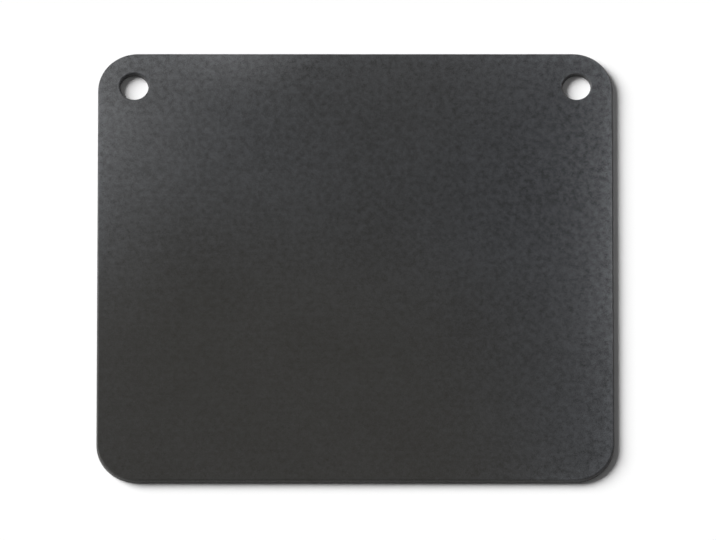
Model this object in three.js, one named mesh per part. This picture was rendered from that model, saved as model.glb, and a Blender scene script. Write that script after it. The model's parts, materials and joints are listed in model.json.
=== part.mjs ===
// A pizza steel: one flat plate of carbon steel that lies on an oven rack and bakes what is laid on it.
// It is cut from sheet in one piece, with rounded corners, eased edges and two hanging holes.
// Millimetres, +Z up. The origin is the middle of the underside, and +Y points to the edge with the holes.

import * as THREE from 'three';

// Driving dimensions
const PLATE_WIDTH = 406.4; // 16 in, along X
const PLATE_DEPTH = 368.3; // 14 1/2 in, along Y
const PLATE_THICKNESS = 6.35; // 1/4 in
const CORNER_RADIUS = 31.75; // 1 1/4 in, seen from above
const EDGE_RADIUS = 1.6; // easing of every edge, at the rim and at both mouths of a hole
const HOLE_DIAMETER = 22.225; // 7/8 in
const HOLE_INSET = 28.6; // from the side edge and from the back edge to a hole's centre

// How finely the round stretches are faceted
const CORNER_STEPS = 16; // along each rounded corner
const HOLE_STEPS = 48; // around each hole
const EDGE_STEPS = 4; // across each eased edge

const FULL_TURN = 2 * Math.PI;
const QUARTER_TURN = FULL_TURN / 4;

const seasonedSteel = new THREE.MeshStandardMaterial({
  name: 'seasoned_steel',
  color: 0x3c3c3d,
  roughness: 0.6,
  metalness: 0.3,
});

/** Points along a circular arc, counter-clockwise, with both ends. */
function arcPoints(centreX, centreY, radius, startAngle, sweepAngle, steps) {
  const endAngle = startAngle + sweepAngle;
  return new THREE.EllipseCurve(centreX, centreY, radius, radius, startAngle, endAngle).getPoints(steps);
}

/** The plate's outline seen from above: four corner arcs joined by straight sides. */
function plateOutline() {
  const cornerX = PLATE_WIDTH / 2 - CORNER_RADIUS;
  const cornerY = PLATE_DEPTH / 2 - CORNER_RADIUS;
  const cornerSigns = [[1, 1], [-1, 1], [-1, -1], [1, -1]];
  const points = cornerSigns.flatMap(([signX, signY], quarter) => {
    const centreX = signX * cornerX;
    const centreY = signY * cornerY;
    const startAngle = quarter * QUARTER_TURN;
    return arcPoints(centreX, centreY, CORNER_RADIUS, startAngle, QUARTER_TURN, CORNER_STEPS);
  });
  return new THREE.Shape(points);
}

/** The outline of the hanging hole in the left (-1) or right (1) back corner. */
function holeOutline(side) {
  const centreX = side * (PLATE_WIDTH / 2 - HOLE_INSET);
  const centreY = PLATE_DEPTH / 2 - HOLE_INSET;
  return new THREE.Path(arcPoints(centreX, centreY, HOLE_DIAMETER / 2, 0, FULL_TURN, HOLE_STEPS));
}

/** The plate, with its underside on Z = 0 and every edge eased by the same quarter round. */
function makeSteelPlate() {
  const outline = plateOutline();
  outline.holes = [-1, 1].map(holeOutline);
  const geometry = new THREE.ExtrudeGeometry(outline, {
    depth: PLATE_THICKNESS - 2 * EDGE_RADIUS,
    bevelThickness: EDGE_RADIUS,
    bevelSize: EDGE_RADIUS,
    bevelOffset: -EDGE_RADIUS,
    bevelSegments: EDGE_STEPS,
  });
  const plate = new THREE.Mesh(geometry, seasonedSteel);
  plate.name = 'steel_plate';
  plate.position.z = EDGE_RADIUS;
  return plate;
}

const pizzaSteel = new THREE.Group();
pizzaSteel.name = 'pizza_steel';
pizzaSteel.add(makeSteelPlate());

export default pizzaSteel;
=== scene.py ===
"""A pizza steel dressed for the camera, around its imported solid.

The steel is one plate, so the scene holds one piece. PlateSizes reads the plate's sizes off the solid,
SteelPlate works its surface out again as a fine closed mesh, and SeasonedSteel is its finish. PaleFloor
is what it lies on, and Studio holds the lamps and the camera. Lengths are in metres, +Z is up, and the
underside lies on Z = 0.
"""

import json
import logging
import math
from dataclasses import dataclass, field
from enum import Enum
from typing import Any

import bmesh
import bpy
import numpy as np
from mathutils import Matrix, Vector


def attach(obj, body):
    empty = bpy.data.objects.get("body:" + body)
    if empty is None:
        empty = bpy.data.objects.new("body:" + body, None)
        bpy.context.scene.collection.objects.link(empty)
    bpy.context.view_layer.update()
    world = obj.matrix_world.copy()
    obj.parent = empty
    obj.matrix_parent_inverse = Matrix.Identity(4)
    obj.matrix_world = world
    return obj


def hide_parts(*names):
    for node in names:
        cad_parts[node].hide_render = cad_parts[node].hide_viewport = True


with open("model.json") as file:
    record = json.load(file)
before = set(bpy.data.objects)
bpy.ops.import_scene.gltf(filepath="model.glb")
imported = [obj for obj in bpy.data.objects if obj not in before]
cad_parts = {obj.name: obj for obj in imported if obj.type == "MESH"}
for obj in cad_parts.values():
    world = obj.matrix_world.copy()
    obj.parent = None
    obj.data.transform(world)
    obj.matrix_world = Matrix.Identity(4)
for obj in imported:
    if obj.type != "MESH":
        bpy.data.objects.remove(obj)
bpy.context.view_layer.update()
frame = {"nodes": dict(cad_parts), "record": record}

Colour = tuple[float, float, float]
Lengths = tuple[float, float, float]
Angles = tuple[float, float, float]
Band = tuple[float, float]

LOG = logging.getLogger("pizza_steel")
METRE = 1.0
MM = 0.001
QUARTER_TURN = math.pi / 2
FULL_TURN = 2 * math.pi
NOISE_MIDDLE = 0.5
SEEN_RAYS = ("Camera", "Glossy", "Transmission")

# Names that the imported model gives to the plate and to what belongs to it
PLATE_NODE = "steel_plate"
PLATE_BODY = "root"


class Corner(Enum):
    """The plate's corners, numbered in the order that the outline passes them, seen from above."""

    BACK_RIGHT = 0
    BACK_LEFT = 1
    FRONT_LEFT = 2
    FRONT_RIGHT = 3

    @property
    def turn(self) -> float:
        """The angle, in radians, from the back right corner round to this one."""
        return self.value * QUARTER_TURN

    @property
    def axes(self) -> np.ndarray:
        """The outward directions of the two sides that meet here, in the outline's order, as two rows."""
        along, across = round(math.cos(self.turn)), round(math.sin(self.turn))
        return np.array([[along, across], [-across, along]], dtype=float)


class Face(Enum):
    """The plate's two flat faces."""

    COOKING = "cooking"
    UNDERSIDE = "underside"


# The record's openings that are the hanging holes, by the corner that each is in
HOLE_OPENINGS = {
    Corner.BACK_RIGHT: "right_hanging_hole",
    Corner.BACK_LEFT: "left_hanging_hole",
}


@dataclass(frozen=True)
class PlateSizes:
    """The plate's sizes, as measured on its solid."""

    width: float
    depth: float
    thickness: float
    corner_radius: float
    edge_radius: float
    hole_radius: float
    hole_centres: dict[Corner, np.ndarray]

    @classmethod
    def from_solid(cls, node: bpy.types.Object, record: dict[str, Any]) -> "PlateSizes":
        """Read the sizes off the solid's points and the record's openings.

        The right side's straight stretch ends a corner radius before the back edge. The top face's flat
        ends an edge radius before the right side. The points nearest a hole's axis lie on its wall.

        Args:
            node: The plate's solid, centred on X and Y, with its underside on Z = 0.
            record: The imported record, whose openings are centred on the holes.

        Returns:
            The measured sizes.
        """
        touch = 0.01 * MM
        flat = np.empty(3 * len(node.data.vertices), dtype=np.float32)
        node.data.vertices.foreach_get("co", flat)
        points = flat.reshape(-1, 3).astype(float)
        low, high = points.min(axis=0), points.max(axis=0)
        right_side = points[points[:, 0] > high[0] - touch]
        top_face = points[points[:, 2] > high[2] - touch]
        boxes = {opening["name"]: opening["box_m"] for opening in record["physics"]["openings"]}
        centres = {corner: np.mean(boxes[name], axis=0)[:2] for corner, name in HOLE_OPENINGS.items()}
        first_centre = centres[Corner.BACK_RIGHT]
        width, depth, thickness = (high - low).tolist()
        return cls(
            width=width,
            depth=depth,
            thickness=thickness,
            corner_radius=float(high[1] - right_side[:, 1].max()),
            edge_radius=float(high[0] - top_face[:, 0].max()),
            hole_radius=float(np.linalg.norm(points[:, :2] - first_centre, axis=1).min()),
            hole_centres=centres,
        )

    @property
    def half(self) -> np.ndarray:
        """Half the width and half the depth."""
        return np.array([self.width, self.depth]) / 2


@dataclass(frozen=True)
class Contour:
    """A closed line round the steel seen from above, with the steel on its left as it runs.

    Its point at a distance inside the steel is anchor + (radius - distance) * normal, so lines further in
    come from the same arrays. The last point repeats the first.
    """

    anchors: np.ndarray
    normals: np.ndarray
    radius: float

    def inside(self, distance: float | np.ndarray) -> np.ndarray:
        """Points at a distance inside the steel.

        Args:
            distance: One distance for the whole line, or an array whose last axis runs along the line.

        Returns:
            The points' X and Y, on a last axis of 2.
        """
        reach = self.radius - np.asarray(distance)
        return self.anchors + reach[..., np.newaxis] * self.normals

    def run(self) -> np.ndarray:
        """The distance along the line to each of its points: the running sum of its steps' lengths."""
        steps = np.linalg.norm(np.diff(self.inside(0.0), axis=0), axis=1)
        return np.concatenate([[0.0], np.cumsum(steps)])


@dataclass(frozen=True)
class Patch:
    """A grid of surface points, with two masks for the finish.

    points has rows, columns and X, Y, Z. Rows crossed into columns point out of the steel. rubbed is 1
    where the flats meet the eased edges and fades out both ways, and cut is 1 on the walls of the rim and
    the holes.
    """

    points: np.ndarray
    rubbed: np.ndarray
    cut: np.ndarray

    @classmethod
    def flat(cls, places: np.ndarray, height: float, face: Face) -> "Patch":
        """A patch on one of the plate's faces.

        Args:
            places: A grid of X and Y whose rows crossed into columns point up.
            height: The face's Z.
            face: Which face it is. The underside's columns are reversed, so that it points down.

        Returns:
            The patch, with both masks at 0.
        """
        heights = np.full(places.shape[:2] + (1,), height)
        points = np.concatenate([places, heights], axis=2)
        nothing = np.zeros(places.shape[:2])
        return cls(points if face is Face.COOKING else points[:, ::-1], nothing, nothing)

    def quads(self) -> np.ndarray:
        """The grid's faces as rows of four point numbers: each cell's corners, down a row and along."""
        rows, columns = self.rubbed.shape
        numbers = np.arange(rows * columns).reshape(rows, columns)
        corners = (numbers[:-1, :-1], numbers[1:, :-1], numbers[1:, 1:], numbers[:-1, 1:])
        return np.stack(corners, axis=2).reshape(-1, 4)


@dataclass
class SteelPlate:
    """The plate's surface as one closed mesh of grid patches.

    Each edge is a profile carried round its contour. The flats between are nine blocks: a field in the
    middle, a strip on each side, and a block in each corner, which fits a round centre to the rounded
    corner.
    """

    sizes: PlateSizes
    name: str = "seasoned_plate"
    rim_margin: float = 9 * MM
    hole_margin: float = 5 * MM
    corner_run_steps: int = 6
    corner_arc_steps: int = 24
    width_steps: int = 40
    depth_steps: int = 36
    block_steps: int = 6
    margin_steps: int = 7
    round_steps: int = 10
    wall_steps: int = 6
    easing_waver: float = 0.10
    waver_lengths: tuple[float, ...] = (0.23, 0.097, 0.041)
    margin_crowding: int = 2
    flat_fade: float = 1.5
    round_fade: int = 6
    cut_rise: int = 2
    # How far inwards the painted sheen at the rim reaches
    painted_sheen_reach: float = 24 * MM
    block: float = field(init=False)
    side_steps: int = field(init=False)

    def __post_init__(self) -> None:
        """Size the corner blocks so that a hole sits in the middle of its block.

        A block is twice a hole's inset, and each of its four sides has half as many steps as its rim.
        """
        inset = self.sizes.half - np.abs(self.sizes.hole_centres[Corner.BACK_RIGHT])
        self.block = 2 * inset.max()
        self.side_steps = (2 * self.corner_run_steps + self.corner_arc_steps) // 2

    def steps_after(self, corner: Corner) -> int:
        """The number of steps along the side that leads from a corner to the next one."""
        return self.width_steps if corner.axes[1, 0] == 0 else self.depth_steps

    def outline(self) -> Contour:
        """The plate's outline, counter-clockwise from the back right corner's block.

        Each corner adds a straight run, an arc and a straight run, and then the side that leads to the
        next corner. In the corner's own two axes the anchors run along a rectangle that is a corner
        radius inside the outline, and the normals turn from the first axis to the second.

        Returns:
            The outline as a contour.
        """
        radius = self.sizes.corner_radius
        anchors, normals = [], []
        for corner in Corner:
            axes = corner.axes
            reach = np.abs(axes @ self.sizes.half)
            near, far = reach - self.block, reach - radius
            run = np.linspace(0.0, 1.0, self.corner_run_steps, endpoint=False)
            side = np.linspace(1.0, -1.0, self.steps_after(corner), endpoint=False)
            angle = np.linspace(0.0, QUARTER_TURN, self.corner_arc_steps, endpoint=False)
            first = np.concatenate([
                np.full_like(run, far[0]),
                np.full_like(angle, far[0]),
                far[0] + run * (near[0] - far[0]),
                side * near[0],
            ])
            second = np.concatenate([
                near[1] + run * (far[1] - near[1]),
                np.full(first.size - run.size, far[1]),
            ])
            bearing = np.concatenate([
                np.zeros_like(run),
                angle,
                np.full(run.size + side.size, QUARTER_TURN),
            ])
            anchors.append(np.stack([first, second], axis=1) @ axes)
            normals.append(np.stack([np.cos(bearing), np.sin(bearing)], axis=1) @ axes)
        anchors.append(anchors[0][:1])
        normals.append(normals[0][:1])
        return Contour(np.concatenate(anchors), np.concatenate(normals), radius)

    def circle(self, corner: Corner) -> Contour:
        """The hole in a corner, or the round middle of a corner without one, as a contour.

        It runs clockwise, so that the steel is on its left: its normals point at the middle, and its
        radius counts as negative. It starts and ends towards the middle of the plate.

        Args:
            corner: The corner that it is in.

        Returns:
            The contour, four sides' worth of steps long.
        """
        outward = corner.turn + QUARTER_TURN / 2
        angle = outward + FULL_TURN / 2 + np.linspace(FULL_TURN, 0.0, 4 * self.side_steps + 1)
        mirrored = self.sizes.hole_centres[Corner.BACK_RIGHT] * np.sign(corner.axes.sum(axis=0))
        centre = self.sizes.hole_centres.get(corner, mirrored)
        normals = -np.stack([np.cos(angle), np.sin(angle)], axis=1)
        return Contour(np.broadcast_to(centre, normals.shape), normals, -self.sizes.hole_radius)

    def edge_band(self, contour: Contour, margin: float) -> Patch:
        """Carry the edge's profile round a contour.

        The profile starts on the cooking face, a margin inside the steel, and comes out to the eased edge.
        It goes round a quarter circle, down the wall and round to the underside in the same way. The
        quarter circle wavers in size along the contour by a sum of sine waves, as an edge eased by hand
        does. The rubbed mask is a power of the share of the margin that is crossed, and on the quarter
        circle a power of the cosine of the angle turned. The cut mask is a power of that angle's sine, and
        1 on the wall.

        Args:
            contour: The line that the profile follows.
            margin: How far the band reaches onto each face.

        Returns:
            The band as one patch, from the cooking face round to the underside.
        """
        run = contour.run()
        laps = np.maximum(1, np.round(run[-1] / np.array(self.waver_lengths)))[:, np.newaxis]
        waves = np.sin(FULL_TURN * laps * run / run[-1] + laps)
        ease = self.sizes.edge_radius * (1 - self.easing_waver * (1 + waves.mean(axis=0)) / 2)
        margin_left = np.linspace(1.0, 0.0, self.margin_steps, endpoint=False)[:, np.newaxis]
        inward = margin_left**self.margin_crowding
        angle = np.linspace(0.0, QUARTER_TURN, self.round_steps + 1)[:, np.newaxis]
        flat_inset = ease + inward * (margin - ease)
        round_inset = ease * (1 - np.sin(angle))
        round_drop = ease * (1 - np.cos(angle))
        inset = np.concatenate([flat_inset, round_inset])
        drop = np.concatenate([np.zeros_like(flat_inset), round_drop])
        fall = np.linspace(0.0, 1.0, self.wall_steps + 1)[1:-1, np.newaxis]
        thickness = self.sizes.thickness
        wall_height = thickness - ease - fall * (thickness - 2 * ease)
        height = np.concatenate([thickness - drop, wall_height, drop[::-1]])
        inset = np.concatenate([inset, np.zeros_like(wall_height), inset[::-1]])
        near_edge = np.concatenate([(1 - inward) ** self.flat_fade, np.cos(angle) ** self.round_fade])
        near_wall = np.concatenate([np.zeros_like(inward), np.sin(angle) ** self.cut_rise])
        rubbed = np.concatenate([near_edge, np.zeros_like(fall), near_edge[::-1]])
        cut = np.concatenate([near_wall, np.ones_like(fall), near_wall[::-1]])
        points = np.concatenate([contour.inside(inset), height[..., np.newaxis]], axis=2)
        return Patch(points, np.broadcast_to(rubbed, height.shape), np.broadcast_to(cut, height.shape))

    def corner_loop(self, corner: Corner) -> np.ndarray:
        """The line round a corner's block, on the flat, counter-clockwise from its inner point.

        It goes straight out to the rim's margin, along the margin round the corner, and straight back.

        Args:
            corner: The corner whose block it is.

        Returns:
            The line's X and Y, four sides' worth of steps long, with the first point repeated.
        """
        axes = corner.axes
        reach = np.abs(axes @ self.sizes.half)
        inner = (reach - self.block) @ axes
        passed = [other for other in Corner if other.value < corner.value]
        first = sum(2 * self.side_steps + self.steps_after(other) for other in passed)
        rim = self.outline().inside(self.rim_margin)[first:first + 2 * self.side_steps + 1]
        share = np.linspace(0.0, 1.0, self.side_steps, endpoint=False)[:, np.newaxis]
        back = np.linspace(0.0, 1.0, self.side_steps + 1)[1:, np.newaxis]
        return np.concatenate([inner + share * (rim[0] - inner), rim, rim[-1] + back * (inner - rim[-1])])

    def corner_flats(self, corner: Corner) -> list[np.ndarray]:
        """The flat grids of a corner's block.

        A ring leads from the circle's margin to the block's line: each of its points is a weighted mean of
        the two. Where the corner has no hole, a disc fills the circle: the square of u and v from -1 to 1
        becomes the disc at x = u * sqrt(1 - v * v / 2), y = v * sqrt(1 - u * u / 2).

        Args:
            corner: The corner whose block it is.

        Returns:
            Grids of X and Y.
        """
        circle = self.circle(corner)
        inner = circle.inside(self.hole_margin)[::-1]
        outer = self.corner_loop(corner)
        share = np.linspace(0.0, 1.0, self.block_steps + 1)[:, np.newaxis, np.newaxis]
        grids = [inner + share * (outer - inner)]
        if corner not in self.sizes.hole_centres:
            angle = np.linspace(-QUARTER_TURN / 2, QUARTER_TURN / 2, self.side_steps + 1)
            u, v = np.meshgrid(np.sqrt(2) * np.sin(angle), np.sqrt(2) * np.sin(angle), indexing="ij")
            disc = np.stack([u * np.sqrt(1 - v**2 / 2), v * np.sqrt(1 - u**2 / 2)], axis=2)
            grids.append(circle.anchors[0] + (self.sizes.hole_radius + self.hole_margin) * disc)
        return grids

    def side_flats(self) -> list[np.ndarray]:
        """The flat grids of the middle field and of the four strips between the corner blocks.

        Returns:
            Grids of X and Y, evenly spaced between straight lines.
        """
        low, high = self.sizes.half - self.block, self.sizes.half - self.rim_margin
        counts = (self.width_steps, self.depth_steps)
        middle = [np.linspace(-low[axis], low[axis], counts[axis] + 1) for axis in range(2)]
        strip = [np.linspace(low[axis], high[axis], self.side_steps + 1) for axis in range(2)]
        spans = [
            (middle[0], middle[1]),
            (middle[0], strip[1]),
            (middle[0], -strip[1][::-1]),
            (strip[0], middle[1]),
            (-strip[0][::-1], middle[1]),
        ]
        return [np.stack(np.meshgrid(x, y, indexing="ij"), axis=2) for x, y in spans]

    def patches(self) -> list[Patch]:
        """All patches of the plate: the rim, the holes' edges, and the flats of both faces."""
        made = [self.edge_band(self.outline(), self.rim_margin)]
        for corner in self.sizes.hole_centres:
            made.append(self.edge_band(self.circle(corner), self.hole_margin))
        flats = self.side_flats()
        for corner in Corner:
            flats += self.corner_flats(corner)
        heights = {Face.COOKING: self.sizes.thickness, Face.UNDERSIDE: 0.0}
        made += [Patch.flat(grid, heights[face], face) for face in Face for grid in flats]
        return made

    def painted_sheen_mask(self, points: np.ndarray) -> np.ndarray:
        """A broad mask that is 1 at the rim and falls off inwards.

        It paints a sheen on the steel, paler towards the rim. It is the exponential of minus the distance
        to the outline over the mask's reach. Outside the rectangle of the corners' centres, that distance
        is the corner radius less the distance to the rectangle. Inside it, the distance is the radius plus
        that to the rectangle's nearest side.

        Args:
            points: Rows of X, Y and Z.

        Returns:
            The mask's value at each point.
        """
        radius = self.sizes.corner_radius
        past = np.abs(points[:, :2]) - (self.sizes.half - radius)
        outside = np.linalg.norm(np.maximum(past, 0.0), axis=1)
        within = np.minimum(past.max(axis=1), 0.0)
        return np.exp((outside + within - radius) / self.painted_sheen_reach)

    def build(self) -> bpy.types.Object:
        """Join the patches into one closed mesh, with the masks as point attributes.

        Returns:
            The plate's object, at the origin.
        """
        patches = self.patches()
        sizes = [patch.rubbed.size for patch in patches]
        starts = np.concatenate([[0], np.cumsum(sizes)[:-1]])
        points = np.concatenate([patch.points.reshape(-1, 3) for patch in patches])
        quads = np.concatenate([patch.quads() + start for patch, start in zip(patches, starts)])
        mesh = bpy.data.meshes.new(self.name)
        mesh.from_pydata(points.tolist(), [], quads.tolist(), shade_flat=False)
        masks = {
            "rubbed": np.concatenate([patch.rubbed.ravel() for patch in patches]),
            "cut": np.concatenate([patch.cut.ravel() for patch in patches]),
            # Painted sheen: the steel is painted paler towards the rim
            "rim": self.painted_sheen_mask(points),
        }
        for mask, values in masks.items():
            attribute = mesh.attributes.new(mask, "FLOAT", "POINT")
            attribute.data.foreach_set("value", values.astype(np.float32))
        self.weld(mesh)
        plate = bpy.data.objects.new(self.name, mesh)
        bpy.context.scene.collection.objects.link(plate)
        return plate

    @staticmethod
    def weld(mesh: bpy.types.Mesh) -> None:
        """Merge the points that neighbouring patches share, so that the surface closes.

        Args:
            mesh: The mesh of unjoined patches, changed in place.
        """
        seam_gap = 0.001 * MM
        editable = bmesh.new()
        editable.from_mesh(mesh)
        bmesh.ops.remove_doubles(editable, verts=editable.verts, dist=seam_gap)
        open_edges = sum(not edge.is_manifold for edge in editable.edges)
        editable.to_mesh(mesh)
        editable.free()
        LOG.info("welded %s: %d faces, %d open edges", mesh.name, len(mesh.polygons), open_edges)

    def dress(self, plate: bpy.types.Object, finish: "SeasonedSteel") -> None:
        """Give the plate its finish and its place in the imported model.

        Args:
            plate: The plate's object.
            finish: The finish of all its surfaces.
        """
        plate.data.materials.append(finish.material())
        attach(plate, PLATE_BODY)
        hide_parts(PLATE_NODE)


def even(length: float) -> Lengths:
    """The same length along X, Y and Z."""
    return (length, length, length)


@dataclass(frozen=True)
class Noise:
    """A cloudy noise: its blobs' lengths along X, Y and Z, how many finer layers it has, and its shift."""

    size: Lengths
    detail: float
    shift: Lengths = (0.0, 0.0, 0.0)


class Value:
    """A shader socket that Python's operators work on: each operator adds one Math node."""

    def __init__(self, graph: "ShaderGraph", socket: bpy.types.NodeSocket) -> None:
        """Wrap an output socket of a graph's node."""
        self.graph = graph
        self.socket = socket

    def _math(self, operation: str, first: "Value | float", second: "Value | float") -> "Value":
        """Add a Math node.

        Args:
            operation: Blender's name of the operation.
            first: The first operand.
            second: The second operand.

        Returns:
            The node's result.
        """
        operands = {"Value": first, "Value_001": second}
        return self.graph.output("ShaderNodeMath", "Value", {"operation": operation}, operands)

    def __add__(self, other: "Value | float") -> "Value":
        """self + other."""
        return self._math("ADD", self, other)

    def __radd__(self, other: float) -> "Value":
        """other + self."""
        return self._math("ADD", other, self)

    def __sub__(self, other: "Value | float") -> "Value":
        """self - other."""
        return self._math("SUBTRACT", self, other)

    def __rsub__(self, other: float) -> "Value":
        """other - self."""
        return self._math("SUBTRACT", other, self)

    def __mul__(self, other: "Value | float") -> "Value":
        """self * other."""
        return self._math("MULTIPLY", self, other)

    def __rmul__(self, other: float) -> "Value":
        """other * self."""
        return self._math("MULTIPLY", other, self)

    def larger(self, other: "Value | float") -> "Value":
        """The larger of self and other."""
        return self._math("MAXIMUM", self, other)

    def eased(self, low: float, high: float) -> "Value":
        """0 up to low, 1 from high, and a smooth step between."""
        settings = {"interpolation_type": "SMOOTHSTEP"}
        values = {"Value": self, "From Min": low, "From Max": high}
        return self.graph.output("ShaderNodeMapRange", "Result", settings, values)


class ShaderGraph:
    """The nodes of one material or of the world."""

    def __init__(self, owner: bpy.types.Material | bpy.types.World) -> None:
        """Give a material or a world a node tree with nothing in it."""
        owner.use_nodes = True
        self.tree = owner.node_tree
        self.tree.nodes.clear()

    def node(
        self,
        kind: str,
        settings: dict[str, Any] | None = None,
        values: dict[str, Any] | None = None,
    ) -> bpy.types.Node:
        """Add any node.

        Args:
            kind: Blender's name of the node's type.
            settings: The node's own properties by name, which are set first.
            values: What its sockets get, by identifier or name: a number, a tuple, or a Value to link.

        Returns:
            The new node.
        """
        made = self.tree.nodes.new(kind)
        for name, setting in (settings or {}).items():
            setattr(made, name, setting)
        for name, given in (values or {}).items():
            socket = next(s for s in made.inputs if name in (s.identifier, s.name))
            if isinstance(given, Value):
                self.tree.links.new(given.socket, socket)
            else:
                socket.default_value = given
        return made

    def output(
        self,
        kind: str,
        socket: str,
        settings: dict[str, Any] | None = None,
        values: dict[str, Any] | None = None,
    ) -> Value:
        """Add any node and take one of its outputs.

        Args:
            kind: Blender's name of the node's type.
            socket: The output's identifier or name.
            settings: As for node.
            values: As for node.

        Returns:
            The output.
        """
        made = self.node(kind, settings, values)
        return Value(self, next(s for s in made.outputs if socket in (s.identifier, s.name)))

    def noise(self, place: Value, noise: Noise) -> Value:
        """Cloudy noise from 0 to 1, with a middle of one half.

        Args:
            place: The coordinates that it reads, in metres.
            noise: The noise's lengths, detail and shift.

        Returns:
            The noise.
        """
        stretch = {"Vector": place, "Location": noise.shift, "Scale": noise.size}
        scaled = self.output("ShaderNodeMapping", "Vector", {"vector_type": "TEXTURE"}, stretch)
        values = {"Vector": scaled, "Scale": 1.0, "Detail": noise.detail}
        return self.output("ShaderNodeTexNoise", "Fac", {"noise_dimensions": "3D"}, values)

    def mask(self, name: str) -> Value:
        """A mask that the mesh holds as a point attribute."""
        return self.output("ShaderNodeAttribute", "Fac", {"attribute_name": name})

    def seen(self) -> Value:
        """1 for light that goes straight to the camera or to a mirror or glass, and 0 for the rest."""
        path = self.node("ShaderNodeLightPath")
        camera, glossy, transmission = (Value(self, path.outputs[f"Is {kind} Ray"]) for kind in SEEN_RAYS)
        return camera.larger(glossy).larger(transmission)

    def mix(self, share: Value, first: "Value | Colour", second: "Value | Colour") -> Value:
        """Mix two colours.

        Args:
            share: How much of the second colour there is, from 0 to 1.
            first: The colour at 0.
            second: The colour at 1.

        Returns:
            The mixed colour.
        """
        shades = {"A_Color": first, "B_Color": second}
        shades = {name: c if isinstance(c, Value) else (*c, 1.0) for name, c in shades.items()}
        settings = {"data_type": "RGBA", "clamp_factor": True}
        return self.output("ShaderNodeMix", "Result_Color", settings, {"Factor_Float": share, **shades})


@dataclass(frozen=True)
class Layer:
    """One layer of noise in a finish, and what its swings do to the surface.

    A swing goes from about -0.25 to 0.25. It is multiplied by tone and added to the steel's shade, which
    is 0 where it is darkest and 1 where it is lightest, and in the same way to the oil film's weight, to
    the roughness and, with depth in metres, to the height. Thick oil hides a share of the swing.
    """

    noise: Noise
    tone: float
    film: float
    roughness: float
    depth: float = 0.0
    hidden: float = 0.0


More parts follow.
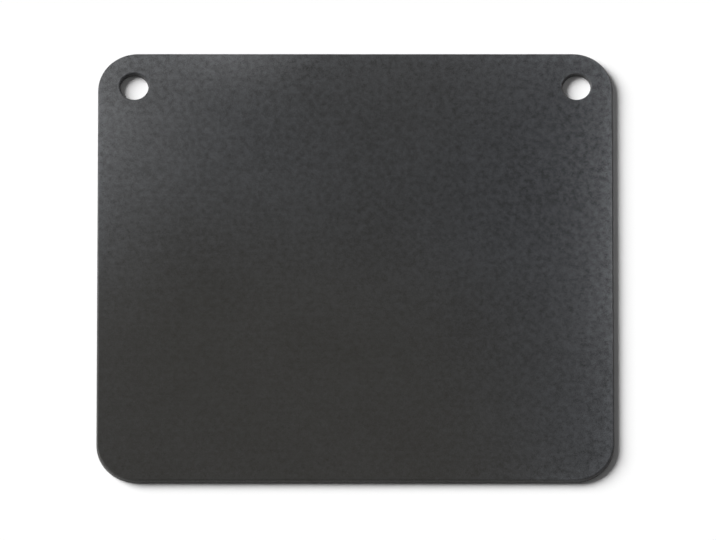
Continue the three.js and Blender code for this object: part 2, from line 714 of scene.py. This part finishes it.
@dataclass(frozen=True)
class SeasonedSteel:
    """Carbon steel with oil baked onto it: a patchy satin film over dark, finely grained metal."""

    name: str = "seasoned_steel"
    dark_steel: Colour = (0.0105, 0.0112, 0.0125)
    light_steel: Colour = (0.0362, 0.0385, 0.0432)
    thick_oil: Colour = (0.0198, 0.0165, 0.0090)
    # Pale steel: worn at the rubbed edges, and painted sheen that makes the steel paler towards the rim
    worn_steel_and_sheen: Colour = (0.081, 0.084, 0.090)
    pit_shade: Colour = (0.006, 0.006, 0.006)
    cut_steel: Colour = (0.120, 0.118, 0.115)
    middle_tone: float = 0.5
    mean_film: float = 0.20
    film_roughness: float = 0.34
    film_ior: float = 1.45
    mean_roughness: float = 0.58
    steel_shine: float = 0.06
    noise_turn: Angles = (0.5, 0.35, 0.8)
    cloud: Layer = Layer(
        Noise(even(90 * MM), detail=4, shift=(190 * MM, 400 * MM, 260 * MM)),
        tone=0.4,
        film=0.10,
        roughness=-0.06,
    )
    mottle: Layer = Layer(
        Noise(even(4.2 * MM), detail=3),
        tone=2.0,
        film=0.13,
        roughness=-0.15,
        depth=0.04 * MM,
        hidden=0.6,
    )
    grain: Layer = Layer(
        Noise(even(1.3 * MM), detail=2),
        tone=0.5,
        film=0.10,
        roughness=-0.12,
        depth=0.035 * MM,
        hidden=0.4,
    )
    speck: Layer = Layer(
        Noise(even(0.5 * MM), detail=1),
        tone=2.2,
        film=0.20,
        roughness=-0.20,
        depth=0.012 * MM,
        hidden=0.3,
    )
    streak: Layer = Layer(
        Noise((70 * MM, 2.5 * MM, 70 * MM), detail=3),
        tone=0.15,
        film=0.08,
        roughness=-0.10,
    )
    oil: Noise = Noise(even(500 * MM), detail=1, shift=(1680 * MM, 170 * MM, 1570 * MM))
    oil_band: Band = (0.42, 0.74)
    oil_share: float = 0.45
    pits: Noise = Noise(even(2.6 * MM), detail=1)
    pit_band: Band = (0.66, 0.76)
    pit_share: float = 0.2
    pit_depth: float = 0.04 * MM
    wear_and_sheen_band: Band = (-0.5, 1.5)
    wear_share: float = 0.2
    # The rim mask's share: painted sheen that makes the steel paler towards the rim
    painted_sheen_share: float = 0.9
    wear_and_sheen_hidden: float = 0.95
    cut_lines: Noise = Noise((0.7 * MM, 0.7 * MM, 25 * MM), detail=2)
    cut_line_depth: float = 0.08 * MM
    cut_share: float = 0.8

    def material(self) -> bpy.types.Material:
        """Build the finish's nodes.

        The layers' swings, less what thick oil hides of them, add up to the steel's shade, the film's
        weight, the roughness and the height. The shade picks the colour. Thick oil, pits, pale steel and
        cut walls are mixed over it in that order. The pale steel is wear by the rubbed mask plus painted
        sheen by the rim mask, which paints the steel paler towards the rim; their weighted sum is taken
        times a smooth step of the shade, less what thick oil hides.

        Returns:
            The material.
        """
        made = bpy.data.materials.new(self.name)
        graph = ShaderGraph(made)
        straight = graph.output("ShaderNodeTexCoord", "Object")
        place = graph.output(
            "ShaderNodeMapping", "Vector", {}, {"Vector": straight, "Rotation": self.noise_turn}
        )
        oil = graph.noise(place, self.oil).eased(*self.oil_band)
        tone, film, roughness, height = self.middle_tone, self.mean_film, self.mean_roughness, 0.0
        layers = (
            (self.cloud, place),
            (self.mottle, place),
            (self.grain, place),
            (self.speck, place),
            (self.streak, straight),
        )
        for layer, where in layers:
            swing = graph.noise(where, layer.noise) - NOISE_MIDDLE
            if layer.hidden:
                swing = swing * (1 - oil * layer.hidden)
            tone = tone + swing * layer.tone
            film = film + swing * layer.film
            roughness = roughness + swing * layer.roughness
            if layer.depth:
                height = height + swing * layer.depth
        colour = graph.mix(tone, self.dark_steel, self.light_steel)
        colour = graph.mix(oil * self.oil_share, colour, self.thick_oil)
        pits = graph.noise(place, self.pits).eased(*self.pit_band)
        colour = graph.mix(pits * self.pit_share, colour, self.pit_shade)
        # Painted sheen: the rim mask paints the steel paler towards the rim; the rubbed mask is wear
        wear_and_painted_sheen = graph.mask("rubbed") * self.wear_share + graph.mask("rim") * self.painted_sheen_share
        wear_and_sheen = wear_and_painted_sheen * tone.eased(*self.wear_and_sheen_band) * (1 - oil * self.wear_and_sheen_hidden)
        colour = graph.mix(wear_and_sheen, colour, self.worn_steel_and_sheen)
        cut = graph.mask("cut")
        cut_line = graph.noise(straight, self.cut_lines)
        colour = graph.mix(cut * cut_line * self.cut_share, colour, self.cut_steel)
        height = height - pits * self.pit_depth + cut * cut_line * self.cut_line_depth
        bump = graph.output("ShaderNodeBump", "Normal", {}, {"Height": height, "Distance": METRE})
        values = {
            "Base Color": colour,
            "Roughness": roughness,
            "Specular IOR Level": self.steel_shine,
            "Coat Weight": film * (1 - pits * self.pit_share),
            "Coat Roughness": self.film_roughness,
            "Coat IOR": self.film_ior,
            "Normal": bump,
        }
        shader = graph.output("ShaderNodeBsdfPrincipled", "BSDF", {}, values)
        graph.node("ShaderNodeOutputMaterial", {}, {"Surface": shader})
        return made


@dataclass(frozen=True)
class PaleFloor:
    """A plain matte floor that is nearly white."""

    name: str = "pale_floor"
    colour: Colour = (0.985, 0.985, 0.985)
    reach: float = 20.0
    drop: float = 0.2 * MM

    def material(self) -> bpy.types.Material:
        """Build the floor's nodes."""
        made = bpy.data.materials.new(self.name)
        graph = ShaderGraph(made)
        values = {"Base Color": (*self.colour, 1.0), "Roughness": 1.0, "Specular IOR Level": 0.0}
        shader = graph.output("ShaderNodeBsdfPrincipled", "BSDF", {}, values)
        graph.node("ShaderNodeOutputMaterial", {}, {"Surface": shader})
        return made

    def build(self) -> None:
        """Lay the floor just under the plate.

        It is one square about the origin, with its reach to each side, a small drop below Z = 0.
        """
        side = np.array([-self.reach, self.reach])
        x, y = np.meshgrid(side, side, indexing="ij")
        points = np.stack([x.ravel(), y.ravel(), np.full(4, -self.drop)], axis=1)
        mesh = bpy.data.meshes.new(self.name)
        mesh.from_pydata(points.tolist(), [], [(0, 2, 3, 1)])
        mesh.materials.append(self.material())
        floor = bpy.data.objects.new(self.name, mesh)
        bpy.context.scene.collection.objects.link(floor)


@dataclass(frozen=True)
class Photo:
    """Where the plate's cooking face lies in the photograph, in pixels from its top left corner."""

    width: int = 716
    height: int = 540
    plate_left: float = 97.2
    plate_right: float = 613.5
    plate_top: float = 53.5
    plate_bottom: float = 480.5


@dataclass(frozen=True)
class Card:
    """A soft card over the floor, face down, that the steel shows as a sheen. It lights nothing else."""

    name: str
    place: tuple[float, float, float]
    width: float
    depth: float
    watts: float

    def hang(self) -> None:
        """Make the lamp and put it in its place."""
        lamp = bpy.data.lights.new(self.name, "AREA")
        lamp.shape = "RECTANGLE"
        lamp.size = self.width
        lamp.size_y = self.depth
        lamp.energy = self.watts
        hung = bpy.data.objects.new(self.name, lamp)
        hung.location = self.place
        hung.visible_diffuse = False
        hung.visible_camera = False
        bpy.context.scene.collection.objects.link(hung)


@dataclass(frozen=True)
class Studio:
    """The lamps and the camera.

    Shares are of the light that makes a white floor white, so key and fill together come to 1.
    """

    photo: Photo = Photo()
    lens_mm: float = 1200.0
    sensor_mm: float = 36.0
    key_bearing: float = math.radians(156)
    key_elevation: float = math.radians(36)
    key_spread: float = math.radians(43)
    fill_share: float = 0.11
    cards: tuple[Card, ...] = (
        Card("left_card", place=(-0.227, 0.372, 0.478), width=0.04, depth=0.13, watts=1.35),
        Card("right_card", place=(0.248, 0.15, 0.12), width=0.03, depth=0.38, watts=0.7),
        Card("back_card", place=(-0.09, 0.245, 0.12), width=0.08, depth=0.03, watts=0.08),
    )

    def light(self) -> None:
        """Set up the key lamp, the sheen cards and the fill from all round.

        A lamp as wide as the key lights a face that looks straight at it by the mean of 1 and the cosine
        of half its spread, and the floor by the sine of its elevation times that.
        """
        bpy.context.scene.view_settings.view_transform = "Standard"
        flat = math.cos(self.key_elevation)
        to_key = Vector((
            flat * math.cos(self.key_bearing),
            flat * math.sin(self.key_bearing),
            math.sin(self.key_elevation),
        ))
        key = bpy.data.lights.new("key", "SUN")
        key.energy = math.pi * (1 - self.fill_share) / (to_key.z * (1 + math.cos(self.key_spread / 2)) / 2)
        key.angle = self.key_spread
        hung = bpy.data.objects.new(key.name, key)
        hung.location = to_key
        hung.rotation_mode = "QUATERNION"
        hung.rotation_quaternion = to_key.to_track_quat("Z", "Y")
        bpy.context.scene.collection.objects.link(hung)
        for card in self.cards:
            card.hang()
        self.fill()

    def fill(self) -> None:
        """Fill from all round: white where it is seen, the fill's share where it only lights things."""
        world = bpy.data.worlds.new("fill")
        graph = ShaderGraph(world)
        strength = self.fill_share + graph.seen() * (1 - self.fill_share)
        values = {"Color": (1.0, 1.0, 1.0, 1.0), "Strength": strength}
        background = graph.output("ShaderNodeBackground", "Background", {}, values)
        graph.node("ShaderNodeOutputWorld", {}, {"Surface": background})
        bpy.context.scene.world = world

    def shoot(self, sizes: PlateSizes) -> None:
        """Place the camera so that the cooking face lies in the frame where the photograph has it.

        With the focal length f in pixels, the width in the picture gives the distance, and the picture's
        height over the true depth gives the sine of the elevation. A point v pixels above the middle of
        the frame lies v * distance / (f * sine - v * cosine) behind the point that the camera looks at.

        Args:
            sizes: The plate's sizes.
        """
        photo = self.photo
        focal = photo.width * self.lens_mm / self.sensor_mm
        distance = focal * sizes.width / (photo.plate_right - photo.plate_left)
        sine = (photo.plate_bottom - photo.plate_top) * distance / (focal * sizes.depth)
        cosine = math.sqrt(1 - sine**2)
        back_rise = photo.height / 2 - photo.plate_top
        back_run = back_rise * distance / (focal * sine - back_rise * cosine)
        middle = (photo.plate_left + photo.plate_right) / 2
        aim = Vector((
            (photo.width / 2 - middle) * distance / focal,
            sizes.depth / 2 - back_run,
            sizes.thickness,
        ))
        towards = Vector((0.0, -cosine, sine))
        lens = bpy.data.cameras.new("camera")
        lens.lens = self.lens_mm
        lens.sensor_width = self.sensor_mm
        lens.clip_end = 2 * distance
        camera = bpy.data.objects.new("camera", lens)
        camera.location = aim + distance * towards
        camera.rotation_mode = "QUATERNION"
        camera.rotation_quaternion = towards.to_track_quat("Z", "Y")
        bpy.context.scene.collection.objects.link(camera)
        bpy.context.scene.camera = camera


def main() -> None:
    """Build the plate and the studio."""
    logging.basicConfig(level=logging.INFO, format="%(name)s: %(message)s")
    sizes = PlateSizes.from_solid(frame["nodes"][PLATE_NODE], frame["record"])
    LOG.info("sizes: %s", sizes)
    studio = Studio()
    studio.shoot(sizes)
    studio.light()
    PaleFloor().build()
    steel = SteelPlate(sizes)
    plate = steel.build()
    steel.dress(plate, SeasonedSteel())
    LOG.info("piece %s: %d points", plate.name, len(plate.data.vertices))


if __name__ == "__main__":
    main()
